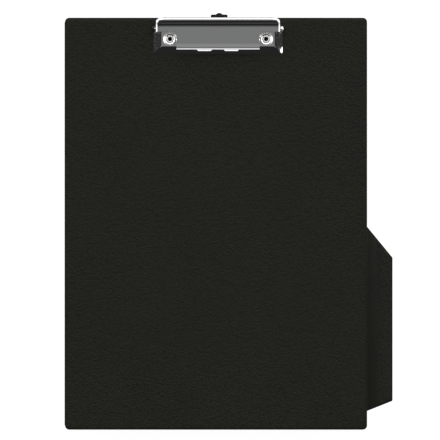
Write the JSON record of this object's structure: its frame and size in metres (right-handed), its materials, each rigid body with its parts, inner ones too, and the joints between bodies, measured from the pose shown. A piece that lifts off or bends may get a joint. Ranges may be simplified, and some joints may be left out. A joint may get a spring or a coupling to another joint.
{
  "type": "storage clipboard box",
  "caption": "Vinyl-covered writing board with a sprung chrome paper clip and sliding hanger, forming the hinged lid of a shallow storage box with a fold-down side flap.",
  "frame": {"origin": "under the middle of the writing board, on the outer face of the box's back panel", "axes": "+Z out of the writing face, +Y towards the clip, +X towards the side flap"},
  "size_m": [0.2511, 0.3186, 0.0413],
  "materials": {
    "vinyl": "black PVC film, embossed with a fine leather grain",
    "hinge_vinyl": "black PVC hinge film, fine grain",
    "greyboard": "raw grey chipboard",
    "chrome_plate": "bright chrome plate on pressed steel",
    "nickel_plate": "bright nickel plate",
    "spring_steel": "zinc-plated spring wire",
    "black_steel": "blackened strip steel",
    "magnet": "nickel-plated bar magnet",
    "strike_steel": "plain thin strip steel"
  },
  "bodies": {
    "tray": {"base_outer_cover": "vinyl", "base_panel_core": "greyboard", "base_lining": "vinyl", "left_wall_core": "greyboard", "top_wall_core": "greyboard", "bottom_wall_core": "greyboard", "right_wall_core": "greyboard", "right_corner_core": "greyboard", "wall_outer_cover": "vinyl", "wall_lining": "vinyl", "closure_magnets": "magnet", "spine_hinge_strip": "hinge_vinyl", "flap_hinge_tape": "hinge_vinyl"},
    "flap": {"flap_core": "greyboard", "flap_outer_cover": "vinyl", "flap_lining": "vinyl", "flap_tape_half": "hinge_vinyl"},
    "lid": {"lid_board_core": "greyboard", "lid_front_cover": "vinyl", "lid_back_cover": "vinyl", "lid_spine_strip": "hinge_vinyl", "closure_strikes": "strike_steel", "clip_base_plate": "chrome_plate", "pivot_rod": "nickel_plate", "torsion_spring": "spring_steel", "clip_rivets": "nickel_plate", "rivet_washers": "nickel_plate"},
    "lever": {"clip_lever": "chrome_plate"},
    "hanger": {"hanging_hook": "black_steel"}
  },
  "joints": [
    {"name": "lid_hinge", "type": "hinge", "parent": "tray", "child": "lid", "pos_m": [-0.11595, 0, 0.02485], "axis": [0, -1, 0], "range_deg": [0, 180]},
    {"name": "flap_fold", "type": "hinge", "parent": "tray", "child": "flap", "pos_m": [0.113, 0, 0.002], "axis": [0, -1, 0], "range_deg": [0, 90]},
    {"name": "lever_pivot", "type": "hinge", "parent": "lid", "child": "lever", "pos_m": [0.0015, 0.1489, 0.0343], "axis": [-1, 0, 0], "range_deg": [0, 38], "stiffness_Nm_per_rad": 0.2, "springref_deg": -34.38, "deforming": ["torsion_spring"]},
    {"name": "hanger_slide", "type": "slide", "parent": "lid", "child": "hanger", "axis": [0, 1, 0], "range_m": [0, 0.011]}
  ]
}
